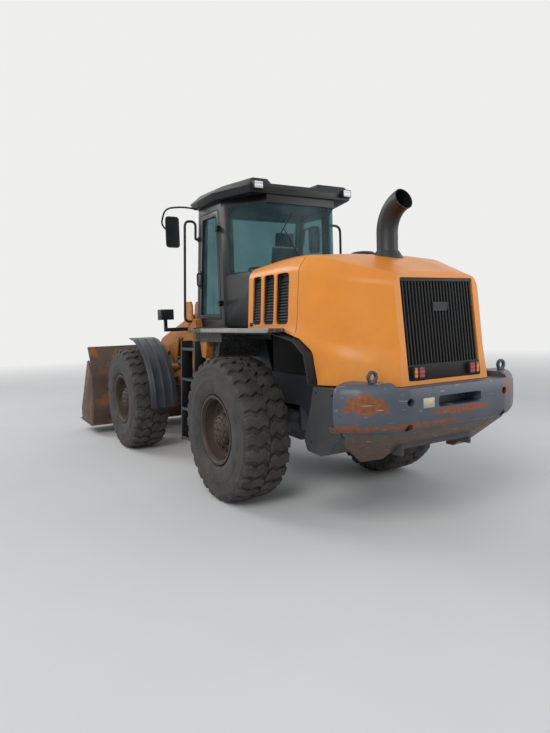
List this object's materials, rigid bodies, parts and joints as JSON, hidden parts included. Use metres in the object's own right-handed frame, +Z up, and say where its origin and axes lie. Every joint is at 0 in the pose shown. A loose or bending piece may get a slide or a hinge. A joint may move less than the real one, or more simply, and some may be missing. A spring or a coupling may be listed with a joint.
{
  "type": "wheel loader",
  "caption": "Articulated wheel loader with a general-purpose bucket, tilting hood and glazed cab",
  "frame": {"origin": "on the ground, in the middle, under the frame hinge and near the middle of the length", "axes": "+X forward, +Y left, +Z up"},
  "size_m": [7.575, 2.74, 3.38],
  "materials": {
    "body_orange": "satin paint, dusty",
    "frame_grey": "satin paint, dusty and chipped",
    "cab_black": "satin paint",
    "tyre_rubber": "dusty",
    "rim_paint": "dusty brown paint",
    "worn_steel": "rusty and worn",
    "cylinder_paint": "paint",
    "chrome_rod": "polished",
    "pin_steel": "greasy",
    "window_glass": "tinted",
    "black_plastic": "grained",
    "lamp_cover": "clear coloured",
    "lamp_white": "clear",
    "seat_fabric": "woven",
    "exhaust_steel": "heat-dulled"
  },
  "bodies": {
    "rear_frame": {"rear_chassis": "body_orange", "hinge_pins": "pin_steel", "rear_axle": "frame_grey", "counterweight": "frame_grey", "lifting_eyes": "frame_grey", "engine_block": "frame_grey", "side_boxes": "frame_grey", "rear_fenders": "black_plastic", "platforms": "frame_grey", "ladders": "frame_grey", "cab_floor": "cab_black", "cab_frame": "cab_black", "cab_roof": "cab_black", "cab_glass": "window_glass", "seat": "seat_fabric", "rear_housing": "cab_black", "steering_column": "black_plastic", "steering_wheel": "black_plastic", "handrails": "cab_black", "mirrors": "black_plastic", "roof_lamps": "lamp_white", "cowl": "body_orange", "cowl_vents": "black_plastic", "precleaner": "black_plastic"},
    "front_frame": {"front_chassis": "body_orange", "front_axle": "frame_grey", "front_fenders": "frame_grey", "work_lamps": "black_plastic"},
    "hood": {"hood_shell": "body_orange", "grille": "black_plastic", "tail_lamps": "lamp_cover", "exhaust_stack": "exhaust_steel"},
    "door_left": {"door_frame": "cab_black", "door_glass": "window_glass"},
    "wheel_rear_left": {"tyre_rear_left": "tyre_rubber", "rim_rear_left": "rim_paint"},
    "wheel_rear_right": {"tyre_rear_right": "tyre_rubber", "rim_rear_right": "rim_paint"},
    "wheel_front_left": {"tyre_front_left": "tyre_rubber", "rim_front_left": "rim_paint"},
    "wheel_front_right": {"tyre_front_right": "tyre_rubber", "rim_front_right": "rim_paint"},
    "boom": {"boom_arms": "body_orange", "bucket_pins": "pin_steel", "crank_pin": "pin_steel"},
    "bucket": {"bucket_shell": "worn_steel", "cutting_edge": "worn_steel"},
    "bellcrank": {"bellcrank": "body_orange", "link_pin": "pin_steel"},
    "tilt_link": {"tilt_link": "body_orange"},
    "lift_barrels": {"lift_barrels": "cylinder_paint"},
    "lift_rods": {"lift_rods": "chrome_rod"},
    "tilt_barrel": {"tilt_barrel": "cylinder_paint"},
    "tilt_rod": {"tilt_rod": "chrome_rod"},
    "steer_left_barrel": {"steer_left_barrel": "cylinder_paint"},
    "steer_left_rod": {"steer_left_rod": "chrome_rod"},
    "steer_right_barrel": {"steer_right_barrel": "cylinder_paint"},
    "steer_right_rod": {"steer_right_rod": "chrome_rod"}
  },
  "joints": [
    {"name": "steering", "type": "hinge", "parent": "rear_frame", "child": "front_frame", "pos_m": [0, 0, 0.94], "axis": [0, 0, 1], "range_deg": [-40, 40]},
    {"name": "hood_lid", "type": "hinge", "parent": "rear_frame", "child": "hood", "pos_m": [-2.694, 0, 2.466], "axis": [0, 1, 0], "range_deg": [0, 60]},
    {"name": "door_left_hinge", "type": "hinge", "parent": "rear_frame", "child": "door_left", "pos_m": [-0.93, 0.79, 2.5], "axis": [0, 0, 1], "range_deg": [0, 150]},
    {"name": "axle_rear_left", "type": "hinge", "parent": "rear_frame", "child": "wheel_rear_left", "pos_m": [-1.625, 1, 0.745], "axis": [0, 1, 0], "continuous": true},
    {"name": "axle_rear_right", "type": "hinge", "parent": "rear_frame", "child": "wheel_rear_right", "pos_m": [-1.625, -1, 0.745], "axis": [0, 1, 0], "continuous": true},
    {"name": "axle_front_left", "type": "hinge", "parent": "front_frame", "child": "wheel_front_left", "pos_m": [1.625, 1, 0.745], "axis": [0, 1, 0], "continuous": true},
    {"name": "axle_front_right", "type": "hinge", "parent": "front_frame", "child": "wheel_front_right", "pos_m": [1.625, -1, 0.745], "axis": [0, 1, 0], "continuous": true},
    {"name": "boom_lift", "type": "hinge", "parent": "front_frame", "child": "boom", "pos_m": [0.5, 0, 1.86], "axis": [0, -1, 0], "range_deg": [-3, 85]},
    {"name": "bucket_tilt", "type": "hinge", "parent": "boom", "child": "bucket", "pos_m": [2.56, 0, 0.43], "axis": [0, -1, 0], "range_deg": [-110, 30]},
    {"name": "crank_turn", "type": "hinge", "parent": "boom", "child": "bellcrank", "pos_m": [2.15, 0, 1.05], "axis": [0, -1, 0], "range_deg": [-4.1, 13.7]},
    {"name": "link_turn", "type": "hinge", "parent": "bellcrank", "child": "tilt_link", "pos_m": [2.22, 0, 0.43], "axis": [0, -1, 0], "range_deg": [-63.2, 17.6]},
    {"name": "lift_barrel_swing", "type": "hinge", "parent": "front_frame", "child": "lift_barrels", "pos_m": [0.18, 0, 0.88], "axis": [0, -1, 0], "range_deg": [-1.8, 37.48]},
    {"name": "lift_rod_slide", "type": "slide", "parent": "lift_barrels", "child": "lift_rods", "axis": [0.9149, 0, 0.4036], "range_m": [-0.0311, 0.7705]},
    {"name": "tilt_barrel_swing", "type": "hinge", "parent": "front_frame", "child": "tilt_barrel", "pos_m": [0.5, 0, 1.86], "axis": [0, -1, 0], "range_deg": [-3.5, 85.5]},
    {"name": "tilt_rod_slide", "type": "slide", "parent": "tilt_barrel", "child": "tilt_rod", "axis": [0.9734, 0, -0.2291], "range_m": [-0.0971, 0.0294]},
    {"name": "steer_left_swing", "type": "hinge", "parent": "rear_frame", "child": "steer_left_barrel", "pos_m": [-0.52, 0.26, 0.93], "axis": [0, 0, 1], "range_deg": [-16.1, 16.1]},
    {"name": "steer_left_slide", "type": "slide", "parent": "steer_left_barrel", "child": "steer_left_rod", "axis": [0.9999, -0.0115, 0], "range_m": [-0.1773, 0.1773]},
    {"name": "steer_right_swing", "type": "hinge", "parent": "rear_frame", "child": "steer_right_barrel", "pos_m": [-0.52, -0.26, 0.93], "axis": [0, 0, 1], "range_deg": [-16.1, 16.1]},
    {"name": "steer_right_slide", "type": "slide", "parent": "steer_right_barrel", "child": "steer_right_rod", "axis": [0.9999, 0.0115, 0], "range_m": [-0.1773, 0.1773]}
  ],
  "couplings": [
    {"joint": "crank_turn", "follows": "bucket_tilt", "ratio": -0.12},
    {"joint": "link_turn", "follows": "bucket_tilt", "ratio": 0.57},
    {"joint": "lift_barrel_swing", "follows": "boom_lift", "ratio": 0.435},
    {"joint": "lift_rod_slide", "follows": "boom_lift", "m_per_rad": 0.5167},
    {"joint": "tilt_barrel_swing", "follows": "boom_lift", "ratio": 1},
    {"joint": "tilt_rod_slide", "follows": "bucket_tilt", "m_per_rad": 0.0485},
    {"joint": "steer_left_swing", "follows": "steering", "ratio": 0.3901},
    {"joint": "steer_left_slide", "follows": "steering", "m_per_rad": -0.2483},
    {"joint": "steer_right_swing", "follows": "steering", "ratio": 0.3901},
    {"joint": "steer_right_slide", "follows": "steering", "m_per_rad": 0.2483}
  ]
}
